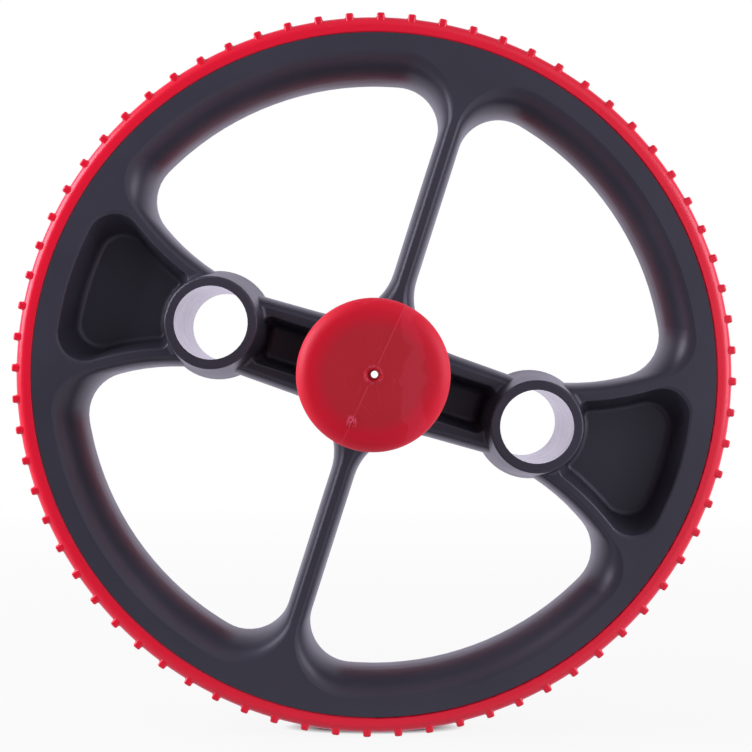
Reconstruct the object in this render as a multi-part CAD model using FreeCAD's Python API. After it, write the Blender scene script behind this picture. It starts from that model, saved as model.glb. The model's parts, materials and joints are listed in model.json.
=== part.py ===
import FreeCAD, Part
import math
import os

from FreeCAD import Vector

# Ab wheel roller, in millimetres. The origin is the wheel's centre, the axle lies along Y, and +Z is up.
# The wheel is drawn with its arms along X and its thin spokes along Z, then turned to its photographed tilt.

# Whole roller
overall_length = 240.0
wheel_tilt = 17.7

# Tyre
tyre_outer_radius = 99.2
tyre_thickness = 4.6
tyre_shoulder_radius = 2.6
tyre_inner_edge_radius = 0.5
tyre_side_setback = 0.3
cleat_count = 72
cleat_height = 1.1
cleat_width = 2.2
cleat_foot_width = 0.45
cleat_foot_sink = 0.03
cleat_end_setback = 0.4
cleat_edge_radius = 0.6
cleat_root_depth = 2.0
cleat_first_angle = 1.1
key_depth = 2.5
key_width = 12.0

# Rim and windows of the wheel body
rim_width = 32.0
rim_wall = 12.1
wall_draft_angle = 1.0
rim_round_width = 6.9
rim_round_fullness = 2
round_depth = 13.5
round_end_angle = 85.0
round_steps = 6
spoke_width = 6.9
spoke_round_width = 2.3
hub_corner_radius = 17.0
spoke_corner_radius = 12.0
spoke_corner_face_radius = 15.5
arm_corner_radius = 12.0
arm_corner_face_radius = 11.0

# Arms, with a fan-shaped pocket outside each boss and a slot inside it
arm_width = 23.0
arm_spread_at_hub = 0.7
arm_round_width = 2.8
arm_round_fullness = 4
flare_start_bearing = 67.0
flare_start_stand_off = 0.1
flare_start_slope = 16.0
flare_share = 0.698
rib_face_width = 2.1
pocket_depth = 13.2
pocket_rim_wall = 6.6
pocket_corner_radius = 7.5
pocket_wall_run = 2.5
slot_width = 13.4
slot_wall_run = 1.6
recess_corner_radius = 2.1
recess_overlap = 0.2
floor_fillet_radius = 1.8
edge_radius = 0.6
edge_steps = 3

# Bosses and hub
boss_length = 54.0
boss_end_wall = 2.6
boss_draft_angle = 6.0
boss_bore_radius = 10.0
boss_offset_share = 0.4894
hub_length = 54.0
hub_end_wall = 4.75
hub_draft_angle = 4.0
post_foot_radius = 1.5
post_foot_depth = 1.0
post_foot_sink = 0.03

# Axle and bearings
axle_radius = 10.0
axle_wall = 2.5
running_clearance = 0.05
bush_wall = 2.0
bush_length = 22.0
bush_flange_lip = 3.45
bush_flange_thickness = 2.0
washer_width = 5.0
washer_thickness = 1.5
end_play = 0.15
ring_thickness = 1.2
ring_height = 3.0
ring_gap_width = 5.0
ring_groove_depth = 0.6
ring_groove_clearance = 0.05

# Grips
grip_wall = 5.2
grip_end_swell = 2.0
grip_end_edge_radius = 3.6
grip_flange_height = 4.3
grip_flange_thickness = 5.0
grip_flange_edge_radius = 1.6
grip_gap = 0.6
grip_end_wall = 7.0
grip_crown = 1.0
grip_swell_length = 16.0
vent_radius = 1.4
vent_lip_radius = 2.7
vent_lip_height = 0.35
grip_ring_count = 9
grip_ring_height = 0.7
grip_ring_width = 3.2

# Values that follow from the sizes above
half_rim = rim_width / 2
half_boss = boss_length / 2
half_hub = hub_length / 2
rim_outer_radius = tyre_outer_radius - tyre_thickness
window_radius = rim_outer_radius - rim_wall
half_tyre = half_rim - tyre_side_setback
boss_offset = rim_outer_radius * boss_offset_share
flare_radius = rim_outer_radius * flare_share
hub_bore_radius = axle_radius + running_clearance + bush_wall
hub_end_radius = hub_bore_radius + hub_end_wall
boss_end_radius = boss_bore_radius + boss_end_wall
draft = math.tan(math.radians(wall_draft_angle))
boss_base_radius = boss_end_radius + half_boss * math.tan(math.radians(boss_draft_angle))
hub_base_radius = hub_end_radius + half_hub * math.tan(math.radians(hub_draft_angle))
pocket_inset = half_rim * draft + arm_round_width + rib_face_width
pocket_floor = half_rim - pocket_depth
bush_flange_radius = hub_bore_radius + bush_flange_lip
washer_radius = axle_radius + washer_width
ring_outer_radius = axle_radius + ring_height
grip_waist_radius = axle_radius + grip_wall
grip_end_radius = grip_waist_radius + grip_end_swell
grip_flange_radius = grip_waist_radius + grip_flange_height
washer_inner_face = half_hub + bush_flange_thickness + end_play / 2
ring_inner_face = washer_inner_face + washer_thickness
ring_outer_face = ring_inner_face + ring_thickness
grip_inner_face = ring_outer_face + grip_gap
grip_outer_face = overall_length / 2
axle_half_length = grip_outer_face - grip_end_wall

AXIS = Vector(0, 1, 0)
UPWARDS = Vector(0, 0, 1)
ORIGIN = Vector(0, 0, 0)
WHEEL_CENTRE = (0.0, 0.0)
BOSS_CENTRE = (boss_offset, 0.0)
CLOSE = 0.001


# Small helpers for flat outlines at one height y, with points given as (x, z)

def line(start, end, y):
    return Part.LineSegment(Vector(start[0], y, start[1]), Vector(end[0], y, end[1])).toShape()


def arc(centre, radius, start, end, y):
    """Arc about a centre from one point to another, the short way round."""
    first = math.atan2(start[1] - centre[1], start[0] - centre[0])
    last = math.atan2(end[1] - centre[1], end[0] - centre[0])
    turn = (last - first + math.pi) % (2 * math.pi) - math.pi
    middle = on_circle(centre, radius, first + turn / 2)
    points = [Vector(place[0], y, place[1]) for place in (start, middle, end)]
    return Part.Arc(*points).toShape()


def on_circle(centre, radius, angle):
    return (centre[0] + radius * math.cos(angle), centre[1] + radius * math.sin(angle))


def towards(start, goal, distance):
    """Point at a distance from start, on the way to goal or beyond it."""
    share = distance / math.dist(start, goal)
    return (start[0] + (goal[0] - start[0]) * share, start[1] + (goal[1] - start[1]) * share)


def circle_crossing(first_centre, first_radius, second_centre, second_radius):
    """Where two circles cross, on the right-hand side of the way from the first centre to the second."""
    apart = math.dist(first_centre, second_centre)
    along = (first_radius ** 2 - second_radius ** 2 + apart ** 2) / (2 * apart)
    aside = math.sqrt(first_radius ** 2 - along ** 2)
    unit = ((second_centre[0] - first_centre[0]) / apart, (second_centre[1] - first_centre[1]) / apart)
    return (
        first_centre[0] + unit[0] * along + unit[1] * aside,
        first_centre[1] + unit[1] * along - unit[0] * aside)


def flipped(place):
    return (place[0], -place[1])


# Small helpers for solids

def revolve(outline):
    """Solid turned about Y from a closed list of (radius, y) corners."""
    corners = [Vector(radius, y, 0) for radius, y in outline]
    return Part.Face(Part.makePolygon(corners + corners[:1])).revolve(ORIGIN, AXIS, 360)


def ring(inner_radius, outer_radius, low_y, high_y):
    return revolve([
        (inner_radius, low_y), (outer_radius, low_y),
        (outer_radius, high_y), (inner_radius, high_y)])


def bore(radius, half_length, x):
    return Part.makeCylinder(radius, 2 * half_length, Vector(x, -half_length, 0), AXIS)


def drafted_post(base_radius, end_radius, length, x):
    """Post from the mid-plane to its end face, with the end's outer edge rounded."""
    post = Part.makeCone(base_radius, end_radius, length, Vector(x, 0, 0), AXIS)
    end_edges = [edge for edge in post.Edges if edge.BoundBox.YMin > length - CLOSE]
    return post.makeFillet(edge_radius, end_edges)


def circles_at(shape, radius, y):
    """Round edges of a turned solid at one radius and one height."""
    return [
        edge for edge in shape.Edges
        if edge.BoundBox.YLength < CLOSE
        and abs(edge.BoundBox.XMax - radius) < CLOSE
        and abs(edge.BoundBox.YMin - y) < CLOSE]


def turned(shape, angle):
    copy = shape.copy()
    copy.rotate(ORIGIN, AXIS, angle)
    return copy


def rounded_rise(steps, fullness=2):
    """Steps of a rounded edge, as shares of its height and its width, from the wall up to the face.

    A fullness of 2 is an ellipse. A greater one stays on the wall for longer and turns in more tightly.
    """
    last = math.sin(math.radians(round_end_angle))
    for step in range(steps + 1):
        sine = math.sin(math.radians(round_end_angle * step / steps))
        yield sine / last, edge_swell(sine, fullness) / edge_swell(last, fullness)


def edge_swell(sine, fullness):
    return 1 - math.sqrt(1 - sine ** fullness)


def flare_circle():
    """Centre of the curve that an arm's side follows from its boss to the rim, at the mid-plane."""
    start = flare_start()
    slope = math.radians(flare_start_slope)
    return (start[0] - flare_radius * math.sin(slope), start[1] + flare_radius * math.cos(slope))


def flare_start():
    reach = boss_base_radius + flare_start_stand_off
    return on_circle(BOSS_CENTRE, reach, math.radians(flare_start_bearing))


# The wheel body

def window_wire(y, rim_radius, spoke_half, arm_inset, spoke_radius, arm_radius):
    """Outline of the window between the upper spoke and the right arm, with both its corners at the rim."""
    arm_half = arm_width / 2 - arm_inset
    hub_centre = (spoke_half + hub_corner_radius, arm_half + arm_spread_at_hub + hub_corner_radius)
    spoke_start = (spoke_half, hub_centre[1])
    rib_end = (hub_centre[0], hub_centre[1] - hub_corner_radius)
    rib_start = (boss_offset - boss_end_radius / 2, arm_half)

    spoke_reach = rim_radius - spoke_radius
    spoke_x = spoke_half + spoke_radius
    spoke_centre = (spoke_x, math.sqrt(spoke_reach ** 2 - spoke_x ** 2))
    spoke_end = (spoke_half, spoke_centre[1])
    rim_start = towards(WHEEL_CENTRE, spoke_centre, rim_radius)

    side_centre = flare_circle()
    side_radius = flare_radius + arm_inset
    side_start = towards(side_centre, flare_start(), side_radius)
    arm_centre = circle_crossing(
        WHEEL_CENTRE, rim_radius - arm_radius, side_centre, side_radius - arm_radius)
    side_end = towards(side_centre, arm_centre, side_radius)
    rim_end = towards(WHEEL_CENTRE, arm_centre, rim_radius)

    return Part.Wire([
        line(spoke_start, spoke_end, y),
        arc(spoke_centre, spoke_radius, spoke_end, rim_start, y),
        arc(WHEEL_CENTRE, rim_radius, rim_start, rim_end, y),
        arc(arm_centre, arm_radius, rim_end, side_end, y),
        arc(side_centre, side_radius, side_end, side_start, y),
        line(side_start, rib_start, y),
        line(rib_start, rib_end, y),
        arc(hub_centre, hub_corner_radius, rib_end, spoke_start, y),
    ])


def window_section(y, rim_swell, arm_swell):
    """Window outline at a height above the mid-plane, on the drafted wall and its rounded edge."""
    drafted = y * draft
    return window_wire(
        y,
        window_radius + drafted + rim_round_width * rim_swell,
        spoke_width / 2 - drafted - spoke_round_width * arm_swell,
        drafted + arm_round_width * arm_swell,
        spoke_corner_radius + (spoke_corner_face_radius - spoke_corner_radius) * rim_swell,
        arm_corner_radius + (arm_corner_face_radius - arm_corner_radius) * rim_swell,
    )


def window_cutter():
    """One window of the rear half: a drafted wall, then an edge rounded off up to the face."""
    round_start = half_rim - round_depth
    wall = Part.makeLoft([window_section(0, 0, 0), window_section(round_start, 0, 0)], True, True)
    rim_steps = rounded_rise(round_steps, rim_round_fullness)
    arm_steps = rounded_rise(round_steps, arm_round_fullness)
    sections = [
        window_section(round_start + round_depth * rise, rim_swell, arm_swell)
        for (rise, rim_swell), (rise, arm_swell) in zip(rim_steps, arm_steps)]
    above = Part.Face(window_section(half_rim, 1, 1)).extrude(AXIS * post_foot_radius)
    return wall.fuse([Part.makeLoft(sections, True, False), above])


def post_foot(end_radius, draft_angle, length, x):
    """Concave ring that rounds the corner between a post and the rib tops it stands on.

    It sinks a little into both, so that it crosses them instead of only touching.
    """
    top = half_rim + post_foot_radius
    wall = end_radius + (length - top) * math.tan(math.radians(draft_angle)) - post_foot_sink
    outer = wall + post_foot_radius
    height = post_foot_radius + post_foot_depth
    block = Part.makeCylinder(outer, height, Vector(x, half_rim - post_foot_depth, 0), AXIS)
    return block.cut(Part.makeTorus(outer, post_foot_radius, Vector(x, top - post_foot_sink, 0), AXIS))


def under_post(end_radius, draft_angle, length, y):
    """Radius just inside a drafted post at one height, so that a recess meets the post without a step."""
    return end_radius + (length - y) * math.tan(math.radians(draft_angle)) - recess_overlap


def pocket_wire(y, inset):
    """Outline of the fan-shaped pocket between a boss and the rim."""
    side_centre = flare_circle()
    side_radius = flare_radius + pocket_inset + inset
    rim_radius = rim_outer_radius - pocket_rim_wall - inset
    boss_radius = under_post(boss_end_radius, boss_draft_angle, half_boss, y)
    corner = pocket_corner_radius
    foot = recess_corner_radius
    rim_corner = circle_crossing(WHEEL_CENTRE, rim_radius - corner, side_centre, side_radius + corner)
    boss_corner = circle_crossing(BOSS_CENTRE, boss_radius + foot, side_centre, side_radius + foot)
    boss_end = towards(BOSS_CENTRE, boss_corner, boss_radius)
    side_start = towards(side_centre, boss_corner, side_radius)
    side_end = towards(side_centre, rim_corner, side_radius)
    rim_end = towards(WHEEL_CENTRE, rim_corner, rim_radius)

    return Part.Wire([
        arc(BOSS_CENTRE, boss_radius, flipped(boss_end), boss_end, y),
        arc(boss_corner, foot, boss_end, side_start, y),
        arc(side_centre, side_radius, side_start, side_end, y),
        arc(rim_corner, corner, side_end, rim_end, y),
        arc(WHEEL_CENTRE, rim_radius, rim_end, flipped(rim_end), y),
        arc(flipped(rim_corner), corner, flipped(rim_end), flipped(side_end), y),
        arc(flipped(side_centre), side_radius, flipped(side_end), flipped(side_start), y),
        arc(flipped(boss_corner), foot, flipped(side_start), flipped(boss_end), y),
    ])


def slot_wire(y, inset):
    """Outline of the slot between the hub and a boss."""
    half = slot_width / 2 - inset
    foot = recess_corner_radius
    hub_radius = under_post(hub_end_radius, hub_draft_angle, half_hub, y)
    boss_radius = under_post(boss_end_radius, boss_draft_angle, half_boss, y)
    hub_reach = math.sqrt((hub_radius + foot) ** 2 - (half - foot) ** 2)
    boss_reach = math.sqrt((boss_radius + foot) ** 2 - (half - foot) ** 2)
    hub_corner = (hub_reach, half - foot)
    boss_corner = (boss_offset - boss_reach, half - foot)
    hub_end = towards(WHEEL_CENTRE, hub_corner, hub_radius)
    boss_end = towards(BOSS_CENTRE, boss_corner, boss_radius)
    side_start = (hub_corner[0], half)
    side_end = (boss_corner[0], half)

    return Part.Wire([
        arc(WHEEL_CENTRE, hub_radius, flipped(hub_end), hub_end, y),
        arc(hub_corner, foot, hub_end, side_start, y),
        line(side_start, side_end, y),
        arc(boss_corner, foot, side_end, boss_end, y),
        arc(BOSS_CENTRE, boss_radius, boss_end, flipped(boss_end), y),
        arc(flipped(boss_corner), foot, flipped(boss_end), flipped(side_end), y),
        line(flipped(side_end), flipped(side_start), y),
        arc(flipped(hub_corner), foot, flipped(side_start), flipped(hub_end), y),
    ])


def recess_cutter(wire_at, wall_run):
    """Recess in an arm: a filleted floor, sloping walls and a lightly rounded top edge."""
    wall_top = half_rim - edge_radius
    wall = Part.makeLoft([wire_at(pocket_floor, wall_run), wire_at(wall_top, 0)], True, True)
    floor_edges = [edge for edge in wall.Edges if edge.BoundBox.YMax < pocket_floor + CLOSE]
    wall = wall.makeFillet(floor_fillet_radius, floor_edges)
    sections = [
        wire_at(wall_top + edge_radius * rise, -edge_radius * swell)
        for rise, swell in rounded_rise(edge_steps)]
    above = Part.Face(wire_at(half_rim, -edge_radius)).extrude(AXIS * post_foot_radius)
    return wall.fuse([Part.makeLoft(sections, True, False), above])


def wheel_half():
    """Rear half of the wheel body, from the mid-plane to the rim's face and the ends of the bosses."""
    key_radius = rim_outer_radius - key_depth
    disc = revolve([
        (0, 0), (key_radius, 0), (key_radius, key_width / 2), (rim_outer_radius, key_width / 2),
        (rim_outer_radius, half_rim), (0, half_rim)])
    window = window_cutter()
    side_windows = [window, window.mirror(ORIGIN, UPWARDS)]
    recesses = [recess_cutter(pocket_wire, pocket_wall_run), recess_cutter(slot_wire, slot_wall_run)]
    one_side = side_windows + recesses
    posts = [drafted_post(hub_base_radius, hub_end_radius, half_hub, 0)]
    feet = [post_foot(hub_end_radius, hub_draft_angle, half_hub, 0)]
    for x in (-boss_offset, boss_offset):
        posts.append(drafted_post(boss_base_radius, boss_end_radius, half_boss, x))
        feet.append(post_foot(boss_end_radius, boss_draft_angle, half_boss, x))
    disc = disc.fuse(feet).cut(one_side + [turned(cutter, 180) for cutter in one_side])
    return disc.fuse(posts)


def wheel_body():
    rear = wheel_half()
    whole = rear.fuse(rear.mirror(ORIGIN, AXIS)).removeSplitter()
    bores = [bore(hub_bore_radius, half_hub, 0)]
    bores += [bore(boss_bore_radius, half_boss, x) for x in (-boss_offset, boss_offset)]
    return turned(whole.cut(bores), wheel_tilt)


# The tyre

def cleat():
    """One bar across the tread, pointing along X, with its top and its ends rounded."""
    low = tyre_outer_radius - cleat_root_depth
    half_length = half_tyre - cleat_end_setback
    height = cleat_root_depth + cleat_height
    bar = Part.makeBox(height, 2 * half_length, cleat_width, Vector(low, -half_length, -cleat_width / 2))
    outer_edges = [edge for edge in bar.Edges if edge.BoundBox.XMax > low + height - CLOSE]
    return bar.makeFillet(cleat_edge_radius, outer_edges)


def cleat_foot():
    """Flare at a cleat's foot, on the flat part of the tread. Its 45 degree sides run on into the bar."""
    low = tyre_outer_radius - cleat_foot_sink
    high = low + 2 * cleat_foot_width
    half_wide = cleat_width / 2 + cleat_foot_width
    half_narrow = cleat_width / 2 - cleat_foot_width
    half_length = half_tyre - tyre_shoulder_radius - cleat_foot_width
    corners = [(low, -half_wide), (high, -half_narrow), (high, half_narrow), (low, half_wide)]
    outline = [Vector(x, -half_length, z) for x, z in corners]
    return Part.Face(Part.makePolygon(outline + outline[:1])).extrude(AXIS * 2 * half_length)


def tyre():
    band = ring(rim_outer_radius, tyre_outer_radius, -half_tyre, half_tyre)
    rounds = {tyre_outer_radius: tyre_shoulder_radius, rim_outer_radius: tyre_inner_edge_radius}
    for edge_reach, radius in rounds.items():
        edges = circles_at(band, edge_reach, half_tyre) + circles_at(band, edge_reach, -half_tyre)
        band = band.makeFillet(radius, edges)
    key = ring(rim_outer_radius - key_depth, rim_outer_radius + key_depth / 2, -key_width / 2, key_width / 2)
    cleat_pieces = [cleat(), cleat_foot()]
    pitch = 360 / cleat_count
    angles = [cleat_first_angle + pitch * index for index in range(cleat_count)]
    cleats = [turned(piece, angle) for angle in angles for piece in cleat_pieces]
    return band.fuse([key] + cleats).removeSplitter()


# The axle, its bearings and its retaining rings, with the rear one of each pair on the +Y side

def axle_tube():
    tube = ring(axle_radius - axle_wall, axle_radius, -axle_half_length, axle_half_length)
    low = ring_inner_face - ring_groove_clearance
    high = ring_outer_face + ring_groove_clearance
    groove = ring(axle_radius - ring_groove_depth, axle_radius + ring_groove_depth, low, high)
    return tube.cut([groove, groove.mirror(ORIGIN, AXIS)])


def hub_bush():
    inner = axle_radius + running_clearance
    sleeve = ring(inner, hub_bore_radius, half_hub - bush_length, half_hub)
    flange = ring(inner, bush_flange_radius, half_hub, half_hub + bush_flange_thickness)
    return sleeve.fuse(flange).removeSplitter()


def thrust_washer():
    return ring(
        axle_radius + running_clearance, washer_radius,
        washer_inner_face, washer_inner_face + washer_thickness)


def retaining_ring():
    """Flat spring ring with its opening at the bottom."""
    whole = ring(axle_radius - ring_groove_depth, ring_outer_radius, ring_inner_face, ring_outer_face)
    gap_corner = Vector(-ring_gap_width / 2, ring_inner_face, -ring_outer_radius)
    gap = Part.makeBox(ring_gap_width, ring_thickness, ring_outer_radius, gap_corner)
    return whole.cut(gap)


# The grips

def grip_profile():
    """Half section of a grip as corners (radius, y), from its flange to its vent."""
    flange_end = grip_inner_face + grip_flange_thickness
    waist_start = flange_end + grip_flange_radius - grip_waist_radius
    swell_start = grip_outer_face - grip_swell_length
    end_edge = grip_outer_face - grip_crown
    return [
        (axle_radius, grip_inner_face),
        (grip_flange_radius, grip_inner_face),
        (grip_flange_radius, flange_end),
        (grip_waist_radius, waist_start),
        (grip_waist_radius, swell_start),
        (grip_end_radius, end_edge - grip_end_edge_radius),
        (grip_end_radius, end_edge),
        (vent_radius, grip_outer_face),
        (vent_radius, axle_half_length),
        (axle_radius, axle_half_length),
    ]


def grip_bead(y):
    """Shallow rounded ring round the waist of a grip."""
    half = grip_ring_width / 2
    low = Vector(grip_waist_radius, y - half, 0)
    top = Vector(grip_waist_radius + grip_ring_height, y, 0)
    high = Vector(grip_waist_radius, y + half, 0)
    root = Vector(grip_waist_radius - grip_ring_height, y, 0)
    section = Part.Wire([
        Part.Arc(low, top, high).toShape(),
        Part.LineSegment(high, root).toShape(),
        Part.LineSegment(root, low).toShape(),
    ])
    return Part.Face(section).revolve(ORIGIN, AXIS, 360)


def grip():
    profile = grip_profile()
    handle = revolve(profile)
    flange_edges = circles_at(handle, *profile[1]) + circles_at(handle, *profile[2])
    handle = handle.makeFillet(grip_flange_edge_radius, flange_edges)
    handle = handle.makeFillet(grip_end_edge_radius, circles_at(handle, *profile[6]))
    waist_start = profile[3][1]
    waist_end = profile[4][1]
    pitch = (waist_end - waist_start) / grip_ring_count
    beads = [grip_bead(waist_start + pitch * (index + 0.5)) for index in range(grip_ring_count)]
    lip = ring(vent_radius, vent_lip_radius, grip_outer_face - grip_crown, grip_outer_face + vent_lip_height)
    return handle.fuse(beads + [lip]).removeSplitter()


def export(name, shape):
    solid = shape.Solids[0]
    print(name, "solids", len(shape.Solids), "valid", shape.isValid(), "cm3", round(solid.Volume / 1000, 2))
    shape.exportStep(f"parts/{name}.step")


def export_pair(name, rear):
    """A piece on the rear side and its mirror image on the front side."""
    export(f"{name}_rear", rear)
    export(f"{name}_front", rear.mirror(ORIGIN, AXIS))


os.makedirs("parts", exist_ok=True)
export("wheel_body", wheel_body())
export("tyre", tyre())
export("axle_tube", axle_tube())
export_pair("hub_bush", hub_bush())
export_pair("thrust_washer", thrust_washer())
export_pair("retaining_ring", retaining_ring())
export_pair("grip", grip())
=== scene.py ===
# %% [markdown]
# # Ab wheel roller
# This lesson dresses a measured model of an ab wheel roller: a charcoal plastic wheel with a red cleated
# tyre, which spins on a hollow axle between two red hand grips. The measured solids come first, and all that
# is added later is built in the same place and at the same size, so it sits right from every side.

# %% Load the measured solids
import bmesh
import bpy
import json
import math
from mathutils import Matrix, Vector

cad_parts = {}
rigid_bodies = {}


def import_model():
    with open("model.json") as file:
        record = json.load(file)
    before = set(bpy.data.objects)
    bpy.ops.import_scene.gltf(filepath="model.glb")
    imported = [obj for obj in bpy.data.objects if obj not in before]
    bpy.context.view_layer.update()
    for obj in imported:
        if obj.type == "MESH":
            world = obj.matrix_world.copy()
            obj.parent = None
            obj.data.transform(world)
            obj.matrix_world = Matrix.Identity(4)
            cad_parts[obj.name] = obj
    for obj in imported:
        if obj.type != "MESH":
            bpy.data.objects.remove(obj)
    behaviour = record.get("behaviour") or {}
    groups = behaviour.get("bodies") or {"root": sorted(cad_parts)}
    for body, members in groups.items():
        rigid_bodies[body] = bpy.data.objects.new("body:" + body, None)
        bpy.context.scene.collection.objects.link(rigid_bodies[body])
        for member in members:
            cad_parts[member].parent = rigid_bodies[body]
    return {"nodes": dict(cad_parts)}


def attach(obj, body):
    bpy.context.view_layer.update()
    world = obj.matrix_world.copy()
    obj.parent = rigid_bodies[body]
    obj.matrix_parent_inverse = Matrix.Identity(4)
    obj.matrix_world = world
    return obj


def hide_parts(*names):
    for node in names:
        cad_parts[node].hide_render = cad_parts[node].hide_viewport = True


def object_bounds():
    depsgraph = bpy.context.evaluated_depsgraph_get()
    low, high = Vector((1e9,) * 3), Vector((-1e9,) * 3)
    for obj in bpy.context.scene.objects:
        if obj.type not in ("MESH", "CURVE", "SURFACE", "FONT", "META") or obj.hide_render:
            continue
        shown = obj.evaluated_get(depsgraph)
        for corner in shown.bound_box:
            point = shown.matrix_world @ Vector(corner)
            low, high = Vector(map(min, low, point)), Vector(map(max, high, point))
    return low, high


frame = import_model()
cad_box = [list(corner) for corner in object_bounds()]
nodes = frame["nodes"]
MM = 0.001
print("solids:", sorted(nodes))

# %% [markdown]
# ## Helpers
# Colours are easiest to read as the hex values of an image editor, but shaders work in linear light, so one
# function turns one into the other. Most of the others add one shader node, set it up, wire it and hand back
# what it gives, which keeps each material short enough to read like a recipe.

# %% Helpers for shader nodes
FULL_SPAN = (0.0, 1.0)

# Sockets that a Mix node uses for colours
MIX_SHARE = 0
MIX_FIRST_COLOUR = 6
MIX_SECOND_COLOUR = 7
MIX_COLOUR_RESULT = 2


def linear(hex_colour):
    """Linear RGBA of an sRGB colour written as six hex digits."""
    channels = [int(hex_colour[index:index + 2], 16) / 255 for index in (0, 2, 4)]
    return [c / 12.92 if c <= 0.04045 else ((c + 0.055) / 1.055) ** 2.4 for c in channels] + [1.0]


def feed(tree, node, inputs):
    """Set inputs of a node, or link them where the value is another node's output."""
    for name, value in inputs.items():
        if isinstance(value, bpy.types.NodeSocket):
            tree.links.new(value, node.inputs[name])
        else:
            node.inputs[name].default_value = value


def add_node(tree, kind, inputs=None, **settings):
    """New shader node, set up and fed."""
    node = tree.nodes.new(kind)
    for name, value in settings.items():
        setattr(node, name, value)
    feed(tree, node, inputs or {})
    return node


def calculate(tree, operation, *values):
    """Result of a sum or a comparison of numbers."""
    return add_node(tree, "ShaderNodeMath", dict(enumerate(values)), operation=operation).outputs["Value"]


def calculate_vector(tree, operation, *vectors):
    """Result of a sum of vectors."""
    node = add_node(tree, "ShaderNodeVectorMath", dict(enumerate(vectors)), operation=operation)
    return node.outputs["Vector"]


def length_of(tree, vector):
    return add_node(tree, "ShaderNodeVectorMath", {0: vector}, operation="LENGTH").outputs["Value"]


def split_up(tree, vector):
    """The X, Y and Z of a vector."""
    node = add_node(tree, "ShaderNodeSeparateXYZ", {"Vector": vector})
    return [node.outputs[axis] for axis in "XYZ"]


def ramp(tree, value, span, low=0.0, high=1.0, smooth=False):
    """Number that runs from low to high while value runs over a span, and stays there beyond it."""
    start, end = span
    node = add_node(tree, "ShaderNodeMapRange", {
        "Value": value, "From Min": start, "From Max": end, "To Min": low, "To Max": high},
        interpolation_type="SMOOTHSTEP" if smooth else "LINEAR")
    return node.outputs["Result"]


def mix(tree, share, first, second):
    """Number between two others."""
    return add_node(tree, "ShaderNodeMix", {"Factor": share, "A": first, "B": second}).outputs["Result"]


def mix_colours(tree, share, first, second):
    """Colour between two others, of which each is six hex digits or another node's output."""
    first, second = (linear(colour) if isinstance(colour, str) else colour for colour in (first, second))
    node = add_node(tree, "ShaderNodeMix", {
        MIX_SHARE: share, MIX_FIRST_COLOUR: first, MIX_SECOND_COLOUR: second}, data_type="RGBA")
    return node.outputs[MIX_COLOUR_RESULT]


def noise(tree, place, scale, detail, distortion=0.0):
    """Cloudy pattern from 0 to 1, with about as many blotches to the metre as its scale says."""
    return add_node(tree, "ShaderNodeTexNoise", {
        "Vector": place, "Scale": scale, "Detail": detail, "Distortion": distortion}).outputs["Fac"]


# %% Helpers for materials
def new_material(name):
    """Plain node material with its shader, and the piece's own coordinates in metres."""
    material = bpy.data.materials.new(name)
    material.use_nodes = True
    tree = material.node_tree
    shader = tree.nodes["Principled BSDF"]
    place = tree.nodes.new("ShaderNodeTexCoord").outputs["Object"]
    return material, tree, shader, place


def radius_from_axle(tree, place):
    """Distance from the axle, which lies along Y."""
    return length_of(tree, calculate_vector(tree, "MULTIPLY", place, (1.0, 0.0, 1.0)))


def emboss(tree, shader, height, strength, depth):
    """Fine relief that only the shading shows."""
    bump = add_node(tree, "ShaderNodeBump", {"Height": height, "Strength": strength, "Distance": depth})
    feed(tree, shader, {"Normal": bump.outputs["Normal"]})


def dress(piece, material):
    piece.data.materials.clear()
    piece.data.materials.append(material)


# %% [markdown]
# ## Camera
# The photograph looks almost straight along the axle from about half a metre, so near things such as the
# grip's end look larger than the wheel behind them. Lens and distance were worked out from how much of each
# bore's wall shows. The axle's vanishing point lies close to the middle of the picture, and a small lens
# shift puts it there.

# %% Camera at the photograph's place
PICTURE_SIDE = 752
FOCAL_LENGTH_PX = 1853.0
VANISHING_POINT_PX = (376.7, 373.3)
CAMERA_PLACE = (0.76 * MM, -527.5 * MM, 0.38 * MM)
SENSOR_WIDTH = 36.0

bpy.ops.object.select_all(action="DESELECT")
bpy.ops.object.camera_add(location=CAMERA_PLACE, rotation=(math.pi / 2, 0, 0))
camera = bpy.context.object
camera.data.sensor_width = SENSOR_WIDTH
camera.data.lens = FOCAL_LENGTH_PX / PICTURE_SIDE * SENSOR_WIDTH
camera.data.shift_x = (PICTURE_SIDE / 2 - VANISHING_POINT_PX[0]) / PICTURE_SIDE
camera.data.shift_y = (VANISHING_POINT_PX[1] - PICTURE_SIDE / 2) / PICTURE_SIDE
bpy.context.scene.camera = camera
print("lens", round(camera.data.lens, 1), "mm")

# %% [markdown]
# ## Room and floor
# The photograph is a product picture on white, taken in a light tent. The tent is white behind and beside
# the wheel, a little darker overhead and open, so dark, towards the camera. That is why walls seen at a
# glancing angle, such as the insides of the bores, shine pale, while faces that look at the camera stay dark.
# The wheel's right pocket is paler than its left one, so the dark opening ends close to the camera's right,
# and a little light also comes from above the camera. The world gives that tent by direction, and rays from
# the camera see plain white. Each span below is a stretch of X, Y or Z of the unit direction.

# %% Light tent
TENT_TINT = "f0e9ff"
PLAIN_WHITE = "ffffff"
TENT_LIGHT = 0.80
BACK_LIGHT = 1.22
OVERHEAD_SHARE = 0.60
CAMERA_LIGHT = 0.13
RIGHT_OF_CAMERA_LIGHT = 1.05
FAR_RIGHT_LIGHT = 0.30
ABOVE_CAMERA_LIGHT = 0.50
RIGHT_SPAN_X = (0.05, 0.19)
FAR_RIGHT_SPAN_X = (0.25, 0.65)
FRONT_SPAN_Y = (-0.75, -0.20)
BACK_SPAN_Y = (0.30, 0.80)
ABOVE_SPAN_Z = (0.35, 0.70)
OVERHEAD_SPAN_Z = (0.30, 0.90)


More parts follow.
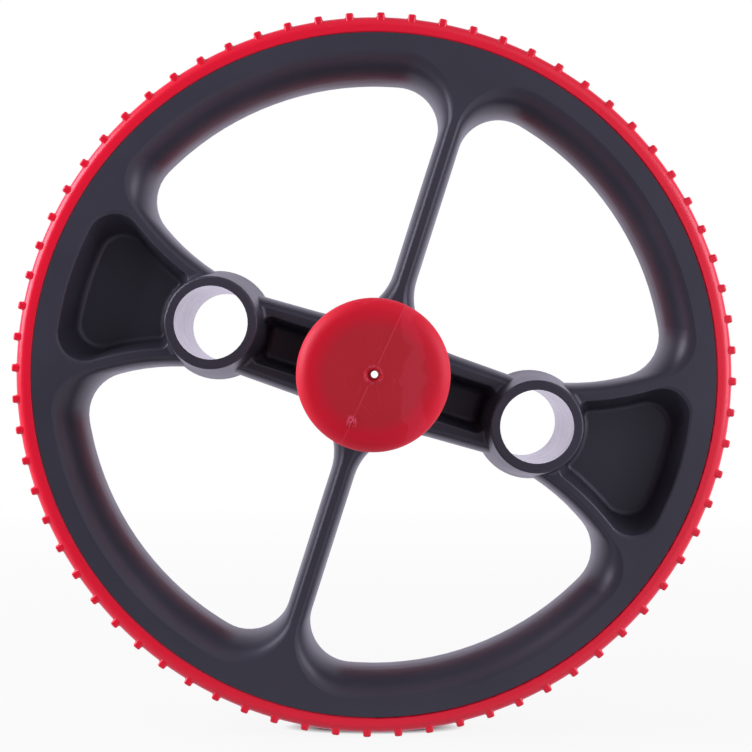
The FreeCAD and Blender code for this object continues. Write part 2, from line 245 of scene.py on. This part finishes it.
def build_tent():
    world = bpy.data.worlds.new("light_tent")
    world.use_nodes = True
    tree = world.node_tree
    x, y, z = split_up(tree, add_node(tree, "ShaderNodeTexCoord").outputs["Generated"])
    right = ramp(tree, x, RIGHT_SPAN_X, CAMERA_LIGHT, RIGHT_OF_CAMERA_LIGHT)
    far_right = ramp(tree, x, FAR_RIGHT_SPAN_X, 0.0, FAR_RIGHT_LIGHT)
    above = ramp(tree, z, ABOVE_SPAN_Z, 0.0, ABOVE_CAMERA_LIGHT)
    front = calculate(tree, "ADD", calculate(tree, "ADD", right, far_right), above)
    sides = ramp(tree, y, FRONT_SPAN_Y, front, TENT_LIGHT, smooth=True)
    back = ramp(tree, y, BACK_SPAN_Y, 0.0, BACK_LIGHT - TENT_LIGHT)
    overhead = ramp(tree, z, OVERHEAD_SPAN_Z, 1.0, OVERHEAD_SHARE)
    lit = calculate(tree, "MULTIPLY", calculate(tree, "ADD", sides, back), overhead)
    from_camera = add_node(tree, "ShaderNodeLightPath").outputs["Is Camera Ray"]
    feed(tree, tree.nodes["Background"], {
        "Color": mix_colours(tree, from_camera, TENT_TINT, PLAIN_WHITE),
        "Strength": mix(tree, from_camera, lit, 1.0)})
    bpy.context.scene.world = world
    return world


print("world:", build_tent().name)

# %% [markdown]
# The floor is a plain pale plane under the tyre. What the camera sees of it is mostly white, as on the
# photograph's cut-out background. Only under the tread does the camera see the floor as it is lit, which
# leaves the thin dark line of shadow where the wheel touches down. Reflections that run towards the camera
# pass through the floor, because the tent is open and dark on that side.

# %% Floor
FLOOR_SIDE = 6.0
FLOOR_GREY = "b8b8b8"
FLOOR_ROUGHNESS = 0.8
FLOOR_WHITE_SHARE = 0.91
FLOOR_FADE = (0.15, 0.90)
TREAD_SHADOW_HALF_SIZE = (26 * MM, 11 * MM, 1.0)
TREAD_SHADOW_FADE = (0.6, 1.0)
OPEN_FRONT_Y = (0.05, -0.15)


def build_floor():
    bpy.ops.object.select_all(action="DESELECT")
    bpy.ops.mesh.primitive_plane_add(size=FLOOR_SIDE, location=(0, 0, cad_box[0][2]))
    floor = bpy.context.object
    floor.name = "floor"
    material, tree, shader, place = new_material("pale_studio_floor")
    feed(tree, shader, {"Base Color": linear(FLOOR_GREY), "Roughness": FLOOR_ROUGHNESS})
    shrunk = calculate_vector(tree, "DIVIDE", place, TREAD_SHADOW_HALF_SIZE)
    beside_tread = ramp(tree, length_of(tree, shrunk), TREAD_SHADOW_FADE)
    far = ramp(tree, length_of(tree, place), FLOOR_FADE, FLOOR_WHITE_SHARE, 1.0)
    white_share = calculate(tree, "MULTIPLY", beside_tread, far)
    path = add_node(tree, "ShaderNodeLightPath").outputs
    seen = calculate(tree, "MAXIMUM", path["Is Camera Ray"], path["Is Glossy Ray"])
    seen_at_all = calculate(tree, "MAXIMUM", seen, path["Is Transmission Ray"])
    white = add_node(tree, "ShaderNodeEmission", {
        "Color": mix_colours(tree, path["Is Camera Ray"], TENT_TINT, PLAIN_WHITE),
        "Strength": mix(tree, path["Is Camera Ray"], BACK_LIGHT, 1.0)})
    whitened = add_node(tree, "ShaderNodeMixShader", {
        0: calculate(tree, "MULTIPLY", seen_at_all, white_share),
        1: shader.outputs["BSDF"], 2: white.outputs["Emission"]})
    in_front = ramp(tree, split_up(tree, place)[1], OPEN_FRONT_Y)
    open_front = add_node(tree, "ShaderNodeBsdfTransparent")
    ground = add_node(tree, "ShaderNodeMixShader", {
        0: calculate(tree, "MULTIPLY", in_front, path["Is Glossy Ray"]),
        1: whitened.outputs["Shader"], 2: open_front.outputs["BSDF"]})
    feed(tree, tree.nodes["Material Output"], {"Surface": ground.outputs["Shader"]})
    dress(floor, material)
    return floor


print("floor at", round(build_floor().location.z / MM, 1), "mm")

# %% [markdown]
# ## Lamps
# Two soft lamps stand close by, one at each side and a little towards the camera. They graze the wheel, so
# its rounded edges catch thin pale lines, the tyre is brightest at the upper left, and the grip's end, which
# is nearer the camera, is lit mostly on its rounded edge.

# %% Soft lamps
LAMP_SIDE = 0.32
LAMPS = {
    "left_softbox": ((-0.42, -0.11, 0.18), 2.4),
    "right_softbox": ((0.45, -0.18, 0.10), 1.3),
}

for lamp_name, (lamp_place, lamp_power) in LAMPS.items():
    aim = (-Vector(lamp_place)).to_track_quat("-Z", "Y").to_euler()
    bpy.ops.object.light_add(type="AREA", location=lamp_place, rotation=aim)
    lamp = bpy.context.object
    lamp.name = lamp_name
    lamp.data.size = LAMP_SIDE
    lamp.data.energy = lamp_power
    lamp.data.color = linear(TENT_TINT)[:3]
    print("lamp", lamp_name, lamp_power, "W")

# %% [markdown]
# ## Charcoal plastic
# The wheel is one injection moulding in charcoal ABS. Its skin is satin with a fine mould texture, but the
# two bores come off polished steel pins. They are glossier and mirror more, with faint brown rub marks from
# the bars that were pushed through them. A Mapping node turns the pattern so that both bores lie on X, and
# the distance from their axes masks them. The mould texture is about 0.1 mm on the real part and is drawn
# three times coarser so that it still shows.

# %% Moulded ABS
WHEEL_TILT = math.radians(17.7)
BORE_OFFSET = 46.3 * MM
BORE_RADIUS = 10.0 * MM
BORE_MARGIN = 0.1 * MM
CHARCOAL = ("313238", "393a41")
RUB_BROWN = "5a4640"
SATIN_SPECULAR = 0.33
SATIN_ROUGHNESS = (0.33, 0.42)
POLISHED_SPECULAR = 0.5
POLISHED_ROUGHNESS = (0.17, 0.22)


def bore_mask(tree, place):
    """One in both bores, zero elsewhere."""
    turned = add_node(tree, "ShaderNodeMapping", {"Vector": place, "Rotation": (0, -WHEEL_TILT, 0)})
    x, _, z = split_up(tree, turned.outputs["Vector"])
    beside = calculate(tree, "SUBTRACT", calculate(tree, "ABSOLUTE", x), BORE_OFFSET)
    across = add_node(tree, "ShaderNodeCombineXYZ", {"X": beside, "Y": z})
    from_axis = length_of(tree, across.outputs["Vector"])
    return calculate(tree, "LESS_THAN", from_axis, BORE_RADIUS + BORE_MARGIN)


def moulded_abs():
    material, tree, shader, place = new_material("moulded_charcoal_abs")
    in_bore = bore_mask(tree, place)
    cloud = noise(tree, place, scale=45.0, detail=4.0)
    rub = noise(tree, place, scale=160.0, detail=6.0, distortion=0.6)
    rubbed = calculate(tree, "MULTIPLY", ramp(tree, rub, (0.52, 0.72), high=0.8), in_bore)
    satin = ramp(tree, cloud, (0.3, 0.7), *SATIN_ROUGHNESS)
    polished = ramp(tree, rub, (0.3, 0.75), *POLISHED_ROUGHNESS)
    feed(tree, shader, {
        "Base Color": mix_colours(tree, rubbed, mix_colours(tree, cloud, *CHARCOAL), RUB_BROWN),
        "Roughness": mix(tree, in_bore, satin, polished),
        "Specular IOR Level": mix(tree, in_bore, SATIN_SPECULAR, POLISHED_SPECULAR),
        "IOR": 1.53})
    emboss(tree, shader, noise(tree, place, scale=3000.0, detail=2.0), strength=0.10, depth=0.1 * MM)
    return material


charcoal = moulded_abs()
dress(nodes["wheel_body"], charcoal)
print("wheel_body dressed in", charcoal.name)

# %% [markdown]
# ## Red rubber of the tyre
# The tyre is moulded rubber in a saturated red, smooth from a polished mould. Its cleats rub on the floor, so
# their tops are a little duller and paler than the walls. The distance from the axle tells the shader where
# the tops of the cleats are.

# %% Moulded rubber
TREAD_RADIUS = 99.2 * MM
CLEAT_HEIGHT = 1.1 * MM
CLEAT_TOP = (TREAD_RADIUS + 0.7 * CLEAT_HEIGHT, TREAD_RADIUS + CLEAT_HEIGHT)
TYRE_RED = ("e00828", "ea0c2e")
SCUFFED_RED = "c8545c"
TYRE_ROUGHNESS = (0.28, 0.70)


def tyre_rubber():
    material, tree, shader, place = new_material("moulded_red_rubber")
    cloud = noise(tree, place, scale=60.0, detail=4.0)
    scuff = noise(tree, place, scale=700.0, detail=3.0)
    worn = calculate(tree, "MULTIPLY", ramp(tree, radius_from_axle(tree, place), CLEAT_TOP), scuff)
    feed(tree, shader, {
        "Base Color": mix_colours(tree, worn, mix_colours(tree, cloud, *TYRE_RED), SCUFFED_RED),
        "Roughness": ramp(tree, worn, FULL_SPAN, *TYRE_ROUGHNESS),
        "IOR": 1.5})
    emboss(tree, shader, noise(tree, place, scale=260.0, detail=2.0), strength=0.25, depth=0.2 * MM)
    return material


dress(nodes["tyre"], tyre_rubber())
print("tyre dressed")

# %% [markdown]
# ## Metal and bearings
# Between the hub and the grips a little of the works shows: the zinc-plated tube that both grips are pushed
# on, pale acetal bushes, black nylon washers and dark spring-steel rings. Each gets marks of how it was made.
# A drawn tube has fine lines along its length, and the moulded and punched pieces have a fine even grain.

# %% Small parts' finishes
LINES_ALONG_AXLE = (1.0, 0.04, 1.0)
EVEN_GRAIN = (1.0, 1.0, 1.0)
ROUGHNESS_SPREAD = 0.1
SMALL_PARTS = {
    "axle_tube": ("zinc_plated_drawn_steel", "a9abb0", "c9ccd0", 1.0, 0.32, LINES_ALONG_AXLE, 0.6 * MM),
    "hub_bush": ("natural_acetal", "dcd8cb", "e9e6dc", 0.0, 0.42, EVEN_GRAIN, 0.9 * MM),
    "thrust_washer": ("black_nylon", "1d1d20", "2a2a2e", 0.0, 0.48, EVEN_GRAIN, 0.5 * MM),
    "retaining_ring": ("phosphated_spring_steel", "4a4a4d", "626265", 1.0, 0.45, EVEN_GRAIN, 0.4 * MM),
}


def small_part(name, dark, pale, metallic, roughness, squeeze, fine):
    """Finish with marks about as wide as fine, drawn out along an axis that squeeze makes small."""
    material, tree, shader, place = new_material(name)
    squeezed = calculate_vector(tree, "MULTIPLY", place, squeeze)
    marks = noise(tree, squeezed, scale=1 / fine, detail=3.0)
    low = roughness - ROUGHNESS_SPREAD
    high = roughness + ROUGHNESS_SPREAD
    feed(tree, shader, {
        "Base Color": mix_colours(tree, marks, dark, pale),
        "Roughness": ramp(tree, marks, FULL_SPAN, low, high),
        "Metallic": metallic})
    emboss(tree, shader, marks, strength=0.15, depth=0.05 * MM)
    return material


for part_name, recipe in SMALL_PARTS.items():
    finish = small_part(*recipe)
    for node_name in (part_name, f"{part_name}_front", f"{part_name}_rear"):
        if node_name in nodes:
            dress(nodes[node_name], finish)
            print(node_name, "dressed in", finish.name)

# %% [markdown]
# ## Hand grips
# Each grip is one soft PVC moulding: a flange at the wheel's side, nine finger rings, a swell and a domed end
# with a vent hole, which narrows inwards and lets air escape when the grip is pushed on its tube. A turned
# shape like this is a spin: its half section is drawn point by point, each point extruded from the last, and
# spun about the axle. The section lies in the plane of the mould's seam, so the seam falls on edges of the
# mesh and can be raised afterwards. The sizes are in millimetres: radii from the axle, and reaches along it
# from the middle of the wheel.

# %% Sizes of the grip
GRIP_BORE_RADIUS = 10.0
GRIP_START = 32.375
FLANGE_RADIUS = 19.5
FLANGE_END = 37.375
FLANGE_EDGE_RADIUS = 1.6
WAIST_RADIUS = 15.2
WAIST_START = 41.675
WAIST_END = 104.0
BEAD_COUNT = 9
BEAD_HEIGHT = 0.7
BEAD_HALF_WIDTH = 1.6
END_RADIUS = 17.2
SWELL_END = 115.4
DOME_EDGE = 119.0
DOME_EDGE_RADIUS = 3.6
DOME_TOP = 120.0
LIP_RADIUS = 2.1
LIP_TOP = 120.22
LIP_EDGE = 0.1
LIP_SLOPE_WIDTH = 0.3
LIP_DIP = 0.03
VENT_RADIUS = 1.4
VENT_MOUTH_WIDTH = 0.2
VENT_MOUTH_DEPTH = 0.4
VENT_INNER_RADIUS = 1.25
BORE_END = 113.0
print("grip is", round(LIP_TOP - GRIP_START, 1), "mm long")

# %% Half section of the grip
CORNER_STEPS = 7
BEAD_STEPS = 8
SWELL_STEPS = 8
DOME_AIM_RADIUS = END_RADIUS - 5
DOME_RINGS = range(13, 2, -1)


def rounded_corner(before, corner, after, radius):
    """Points of the arc that rounds one corner of a drawn outline."""
    first = (before - corner).normalized()
    second = (after - corner).normalized()
    half = first.angle(second) / 2
    centre = corner + (first + second).normalized() * radius / math.sin(half)
    start = corner + first * radius / math.tan(half) - centre
    end = corner + second * radius / math.tan(half) - centre
    shares = [step / CORNER_STEPS for step in range(CORNER_STEPS + 1)]
    return [centre + start.slerp(end, share).normalized() * radius for share in shares]


def flange_points():
    bore_start = Vector((GRIP_BORE_RADIUS, GRIP_START))
    flange_in = Vector((FLANGE_RADIUS, GRIP_START))
    flange_out = Vector((FLANGE_RADIUS, FLANGE_END))
    waist = Vector((WAIST_RADIUS, WAIST_START))
    inner_edge = rounded_corner(bore_start, flange_in, flange_out, FLANGE_EDGE_RADIUS)
    outer_edge = rounded_corner(flange_in, flange_out, waist, FLANGE_EDGE_RADIUS)
    return [bore_start] + inner_edge + outer_edge + [waist]


def bead_points(middle):
    """Low arch of one finger ring."""
    points = []
    for step in range(BEAD_STEPS + 1):
        share = 2 * step / BEAD_STEPS - 1
        height = BEAD_HEIGHT * (1 - share ** 2)
        points.append(Vector((WAIST_RADIUS + height, middle + BEAD_HALF_WIDTH * share)))
    return points


def swell_points():
    points = []
    for step in range(SWELL_STEPS + 1):
        share = step / SWELL_STEPS
        rise = share ** 2 * (3 - 2 * share)
        radius = WAIST_RADIUS + (END_RADIUS - WAIST_RADIUS) * rise
        points.append(Vector((radius, WAIST_END + (SWELL_END - WAIST_END) * share)))
    return points


def on_dome(radius):
    """Point of the domed end at one radius."""
    return Vector((radius, DOME_TOP - (DOME_TOP - DOME_EDGE) * (radius / END_RADIUS) ** 2))


def vent_points():
    """Lip round the vent, the vent itself and the end of the bore."""
    return [
        on_dome(LIP_RADIUS),
        Vector((LIP_RADIUS - LIP_EDGE, LIP_TOP - LIP_EDGE)),
        Vector((LIP_RADIUS - LIP_SLOPE_WIDTH, LIP_TOP)),
        Vector((VENT_RADIUS + VENT_MOUTH_WIDTH, LIP_TOP - LIP_DIP)),
        Vector((VENT_RADIUS + LIP_EDGE, LIP_TOP - LIP_EDGE)),
        Vector((VENT_RADIUS, LIP_TOP - VENT_MOUTH_DEPTH)),
        Vector((VENT_INNER_RADIUS, BORE_END)),
        Vector((GRIP_BORE_RADIUS, BORE_END))]


def grip_section():
    """Half section as points (radius, reach), once round the wall of the grip."""
    points = flange_points()
    pitch = (WAIST_END - WAIST_START) / BEAD_COUNT
    for bead in range(BEAD_COUNT):
        points += bead_points(WAIST_START + pitch * (bead + 0.5))
    points += swell_points()
    dome_corner = Vector((END_RADIUS, DOME_EDGE))
    points += rounded_corner(points[-1], dome_corner, on_dome(DOME_AIM_RADIUS), DOME_EDGE_RADIUS)
    points += [on_dome(radius) for radius in DOME_RINGS]
    return points + vent_points()


section = grip_section()
print("grip section:", len(section), "points")

# %% Draw and spin the front grip
SEAM_ANGLE = math.radians(24.7)
SEAM_OUTWARD = Vector((math.sin(SEAM_ANGLE), 0, math.cos(SEAM_ANGLE)))
SEAM_SIDEWAYS = Vector((math.cos(SEAM_ANGLE), 0, -math.sin(SEAM_ANGLE)))
TOWARDS_FRONT = Vector((0, -1, 0))
SPIN_STEPS = 128
TOUCHING = 0.001 * MM


def in_seam_plane(point):
    """Place in the front grip's seam plane for a point (radius, reach) in millimetres."""
    return (SEAM_OUTWARD * point.x + TOWARDS_FRONT * point.y) * MM


def spun_grip():
    places = [in_seam_plane(point) for point in section]
    bpy.ops.object.select_all(action="DESELECT")
    bpy.ops.mesh.primitive_plane_add(size=MM)
    piece = bpy.context.object
    piece.name = "hand_grip_front"
    bpy.ops.object.mode_set(mode="EDIT")
    bpy.ops.mesh.select_mode(type="VERT")
    bpy.ops.mesh.select_all(action="SELECT")
    bpy.ops.mesh.merge(type="CENTER")
    bpy.ops.transform.translate(value=places[0])
    for start, end in zip(places, places[1:] + places[:1]):
        bpy.ops.mesh.extrude_vertices_move(TRANSFORM_OT_translate={"value": end - start})
    bpy.ops.mesh.select_all(action="SELECT")
    bpy.ops.mesh.remove_doubles(threshold=TOUCHING)
    bpy.ops.mesh.select_all(action="SELECT")
    bpy.ops.mesh.spin(steps=SPIN_STEPS, angle=2 * math.pi, center=(0, 0, 0), axis=(0, 1, 0))
    bpy.ops.mesh.select_all(action="SELECT")
    bpy.ops.mesh.remove_doubles(threshold=TOUCHING)
    bpy.ops.mesh.normals_make_consistent(inside=False)
    return piece


front_grip = spun_grip()
print("front grip spun")

# %% [markdown]
# The grip's mould had two halves. Their seam runs along both sides and straight across the domed end. It is
# a ridge less than a tenth of a millimetre high: the edges on the seam are bevelled into a narrow strip, and
# the strip's middle line is pushed outwards. On the seam, below the vent, sits the scar where the moulding
# was broken off its runner, made by subdividing a few faces, raising them and moving their points at random.
# The lip of the vent, where a pin was pulled out, is torn by moving its points in and out at random.

# %% Choosing parts of a mesh
SKIN_DEPTH = 1.0
INSIDE_MARGIN = 0.5
LIP_MARGIN = 0.05
LIP_TEAR_DEPTH = 0.2
INNER_END_MARGIN = 0.01
GATE_PLACE = Vector((-4.8 * MM, 0, -10.4 * MM))
GATE_RADIUS = 1.7 * MM


def select_where(piece, kind, test):
    """In edit mode, select the vertices, edges or faces whose vertices all pass a test of their place."""
    mesh = bmesh.from_edit_mesh(piece.data)
    chosen = 0
    for part in list(mesh.faces) + list(mesh.edges) + list(mesh.verts):
        part.select = False
    for part in getattr(mesh, kind):
        corners = [part] if kind == "verts" else part.verts
        if all(test(corner.co) for corner in corners):
            part.select_set(True)
            chosen += 1
    bmesh.update_edit_mesh(piece.data)
    return chosen


def on_outside(point):
    """True on the grip's visible skin, false in its bore, its vent and on its inner end."""
    radius = math.hypot(point.x, point.z) / MM
    reach = -point.y / MM
    on_end = reach > DOME_EDGE - SKIN_DEPTH and radius > LIP_RADIUS + LIP_MARGIN
    off_inner_end = reach > GRIP_START + INNER_END_MARGIN
    return on_end or (radius > GRIP_BORE_RADIUS + INSIDE_MARGIN and off_inner_end)


def on_seam(point):
    return abs(point.dot(SEAM_SIDEWAYS)) < TOUCHING and on_outside(point)


def at_gate(point):
    flat = Vector((point.x, 0, point.z))
    return (flat - GATE_PLACE).length < GATE_RADIUS and -point.y > DOME_EDGE * MM


def on_lip(point):
    near_vent = math.hypot(point.x, point.z) < (LIP_RADIUS - LIP_MARGIN) * MM
    return near_vent and -point.y > (LIP_TOP - LIP_TEAR_DEPTH) * MM


# %% Seam, gate scar and torn lip
SEAM_HALF_WIDTH = 0.2 * MM
SEAM_HEIGHT = 0.06 * MM
GATE_HEIGHT = 0.15 * MM
GATE_CRUMPLE = 0.14 * MM
LIP_TEAR = 0.12 * MM
SMOOTH_ANGLE = math.radians(35)


def raise_seam(piece):
    bpy.ops.mesh.select_mode(type="EDGE")
    edges = select_where(piece, "edges", on_seam)
    bpy.ops.mesh.bevel(offset=SEAM_HALF_WIDTH, segments=2, affect="EDGES")
    bpy.ops.mesh.select_mode(type="VERT")
    crest = select_where(piece, "verts", on_seam)
    bpy.ops.transform.shrink_fatten(value=SEAM_HEIGHT)
    print("seam:", edges, "edges,", crest, "crest points")


def crumple_gate(piece):
    bpy.ops.mesh.select_mode(type="FACE")
    faces = select_where(piece, "faces", at_gate)
    bpy.ops.mesh.subdivide(number_cuts=2)
    bpy.ops.mesh.select_less()
    bpy.ops.transform.shrink_fatten(value=GATE_HEIGHT)
    bpy.ops.transform.vertex_random(offset=GATE_CRUMPLE, normal=0.8, seed=4)
    print("gate scar:", faces, "faces crumpled")


def tear_lip(piece):
    bpy.ops.mesh.select_mode(type="VERT")
    points = select_where(piece, "verts", on_lip)
    bpy.ops.transform.vertex_random(offset=LIP_TEAR, normal=1.0, seed=7)
    print("vent lip:", points, "points torn")


raise_seam(front_grip)
crumple_gate(front_grip)
tear_lip(front_grip)
bpy.ops.mesh.select_all(action="SELECT")
bpy.ops.mesh.normals_make_consistent(inside=False)
bpy.ops.object.mode_set(mode="OBJECT")
bpy.ops.object.shade_smooth_by_angle(angle=SMOOTH_ANGLE)
print("front grip:", len(front_grip.data.polygons), "faces")

# %% [markdown]
# The grips look alike, so the rear one is a copy of the front one, mirrored through the middle of the wheel.
# Each takes the place of its plain measured solid and rides on the handle, so it stays still when the wheel
# turns.

# %% Rear grip as a mirrored copy
def mirrored_copy(piece, name):
    bpy.ops.object.select_all(action="DESELECT")
    piece.select_set(True)
    bpy.context.view_layer.objects.active = piece
    bpy.ops.object.duplicate()
    copy = bpy.context.object
    copy.name = name
    bpy.ops.object.mode_set(mode="EDIT")
    bpy.ops.mesh.select_all(action="SELECT")
    bpy.ops.transform.resize(value=(1, -1, 1), center_override=(0, 0, 0))
    bpy.ops.mesh.normals_make_consistent(inside=False)
    bpy.ops.object.mode_set(mode="OBJECT")
    return copy


rear_grip = mirrored_copy(front_grip, "hand_grip_rear")
for grip, node_name in ((front_grip, "grip_front"), (rear_grip, "grip_rear")):
    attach(grip, "handle")
    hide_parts(node_name)
    print(grip.name, "replaces", node_name)

# %% [markdown]
# ## Soft PVC of the grips
# The grips are softened PVC in the tyre's red. The middle of the domed end is painted a darker red as shade,
# because it faces the dark, open side of the tent. Beside the middle, a pale wavy band is a painted
# reflection of a soft box, and the skin is a little rougher there. Here and there the skin has hairline
# scratches. The painted reflection band and the scratches change the roughness and lift the colour a little,
# and the seam's crest, the gate scar and the torn lip are paler because the plastic was stretched there. Soft
# PVC also lets a little red light through; inside the vent this is painted on as a dim red glow.

# %% Marks on the PVC
# Place and strength of a painted reflection: a pale wavy band beside the middle of the domed end.
REFLECTION_BAND_MIDDLE = 8.6 * MM
REFLECTION_BAND_HALF_WIDTH = 1.9 * MM
REFLECTION_BAND_WANDER = 5.0 * MM
REFLECTION_BAND_FADE = (0.7 * REFLECTION_BAND_HALF_WIDTH, REFLECTION_BAND_HALF_WIDTH)
REFLECTION_BAND_STRENGTH = 0.08
SCRATCH_TURN = (0, 0.6, 0)
SCRATCH_SQUEEZE = (1.0, 1.0, 0.35)
CREST_FADE = (0.05 * MM, 0.22 * MM)
GATE_SQUEEZE = (1.3, 0.0, 0.9)
GATE_FADE = (0.3 * GATE_RADIUS, GATE_RADIUS)
LIP_FADE = (LIP_RADIUS * MM, (LIP_RADIUS + 0.3) * MM)
LIP_PALENESS = 0.35


def painted_reflection_band(tree, place, warp):
    """Painted reflection of a soft box: a pale band beside the middle of the domed end, with wandering edges.
    """
    shift = ramp(tree, warp, FULL_SPAN, -REFLECTION_BAND_WANDER, REFLECTION_BAND_WANDER)
    wavy = calculate(tree, "ADD", split_up(tree, place)[0], shift)
    beside = calculate(tree, "ABSOLUTE", calculate(tree, "SUBTRACT", wavy, REFLECTION_BAND_MIDDLE))
    return ramp(tree, beside, REFLECTION_BAND_FADE, REFLECTION_BAND_STRENGTH, 0.0)


def hairlines(tree, place, warp):
    """Hairline scratches: the edges of long thin cells, which fade in and out."""
    turned = add_node(tree, "ShaderNodeMapping", {
        "Vector": place, "Rotation": SCRATCH_TURN, "Scale": SCRATCH_SQUEEZE})
    cells = add_node(tree, "ShaderNodeTexVoronoi", {
        "Vector": turned.outputs["Vector"], "Scale": 210.0}, feature="DISTANCE_TO_EDGE")
    line = ramp(tree, cells.outputs["Distance"], (0.0, 0.02), low=1.0, high=0.0)
    return calculate(tree, "MULTIPLY", line, ramp(tree, warp, (0.55, 0.7), high=0.22))


def seam_crest(tree, place, warp):
    """Paler line along the seam, stronger in some places than in others."""
    off_seam = add_node(tree, "ShaderNodeVectorMath", {0: place, 1: SEAM_SIDEWAYS}, operation="DOT_PRODUCT")
    from_seam = calculate(tree, "ABSOLUTE", off_seam.outputs["Value"])
    crest = ramp(tree, from_seam, CREST_FADE, low=1.0, high=0.0)
    return calculate(tree, "MULTIPLY", crest, ramp(tree, warp, (0.4, 0.65), low=0.04, high=0.22))


def torn_places(tree, place):
    """Pale flecks at the gate scar, which is longer along the seam than across it, and on the vent's lip."""
    in_seam = add_node(tree, "ShaderNodeMapping", {
        "Vector": calculate_vector(tree, "SUBTRACT", place, GATE_PLACE),
        "Rotation": (0, -SEAM_ANGLE, 0), "Scale": GATE_SQUEEZE})
    gate = ramp(tree, length_of(tree, in_seam.outputs["Vector"]), GATE_FADE, low=1.0, high=0.0)
    lip = ramp(tree, radius_from_axle(tree, place), LIP_FADE, LIP_PALENESS, 0.0)
    fleck = noise(tree, place, scale=700.0, detail=3.0, distortion=1.5)
    strong = ramp(tree, fleck, (0.44, 0.58), high=0.9)
    return calculate(tree, "MULTIPLY", calculate(tree, "MAXIMUM", gate, lip), strong)


def painted_glow_mask(tree, place):
    """One in the grip's hollow, where a dim red glow is painted in for light soaking through, zero elsewhere.
    """
    reach = calculate(tree, "ABSOLUTE", split_up(tree, place)[1])
    radius = radius_from_axle(tree, place)
    behind_dome = calculate(tree, "LESS_THAN", reach, (DOME_TOP - INSIDE_MARGIN) * MM)
    in_bore = calculate(tree, "LESS_THAN", radius, (GRIP_BORE_RADIUS - INSIDE_MARGIN) * MM)
    return calculate(tree, "MULTIPLY", behind_dome, in_bore)


# %% Softened PVC
GRIP_RED = ("d60a26", "e20c2a")
# Painted shade: the middle of the domed end gets a darker red, because it faces the dark open side of the
# tent.
SHADED_MIDDLE_RED = ("c01e28", "cc242e")
SHADED_MIDDLE_EDGE = (10 * MM, 14 * MM)
# Pale pink of the stretched marks, also used for the painted reflection band.
STRETCHED_AND_REFLECTION_PINK = "ff6a84"
PAINTED_GLOW_RED = "6e121c"
PVC_ROUGHNESS = (0.50, 0.62)


def soft_pvc():
    material, tree, shader, place = new_material("softened_red_pvc")
    cloud = noise(tree, place, scale=70.0, detail=5.0)
    warp = noise(tree, place, scale=110.0, detail=3.0)
    grip_red = mix_colours(tree, cloud, *GRIP_RED)
    # Painted shade: a darker red in the middle of the domed end.
    shaded_middle_red = mix_colours(tree, cloud, *SHADED_MIDDLE_RED)
    in_middle = ramp(tree, radius_from_axle(tree, place), SHADED_MIDDLE_EDGE, low=1.0, high=0.0, smooth=True)
    red = mix_colours(tree, in_middle, grip_red, shaded_middle_red)
    # The painted reflection band and the hairline scratches, which also make the skin rougher.
    reflection_and_scratches = calculate(tree, "MAXIMUM", painted_reflection_band(tree, place, warp), hairlines(tree, place, warp))
    stretched = calculate(tree, "MAXIMUM", seam_crest(tree, place, warp), torn_places(tree, place))
    pale = calculate(tree, "MAXIMUM", reflection_and_scratches, stretched)
    feed(tree, shader, {
        "Base Color": mix_colours(tree, pale, red, STRETCHED_AND_REFLECTION_PINK),
        "Roughness": ramp(tree, reflection_and_scratches, (0.0, 0.2), *PVC_ROUGHNESS),
        "IOR": 1.5,
        "Specular IOR Level": 0.3,
        "Subsurface Weight": 0.3,
        "Subsurface Radius": (1.0, 0.15, 0.12),
        "Subsurface Scale": 5.0 * MM,
        # Painted light: the hollow glows dimly red, standing in for light that soaks through the PVC.
        "Emission Color": linear(PAINTED_GLOW_RED),
        "Emission Strength": painted_glow_mask(tree, place)})
    emboss(tree, shader, noise(tree, place, scale=240.0, detail=3.0), strength=0.3, depth=0.2 * MM)
    return material


red_pvc = soft_pvc()
for grip in (front_grip, rear_grip):
    dress(grip, red_pvc)
    print(grip.name, "dressed in", red_pvc.name)

# %% [markdown]
# ## Finish
# The Standard view shows colours as they were mixed, with no film look over them.

# %% Finish
scene = bpy.context.scene
scene.view_settings.view_transform = "Standard"
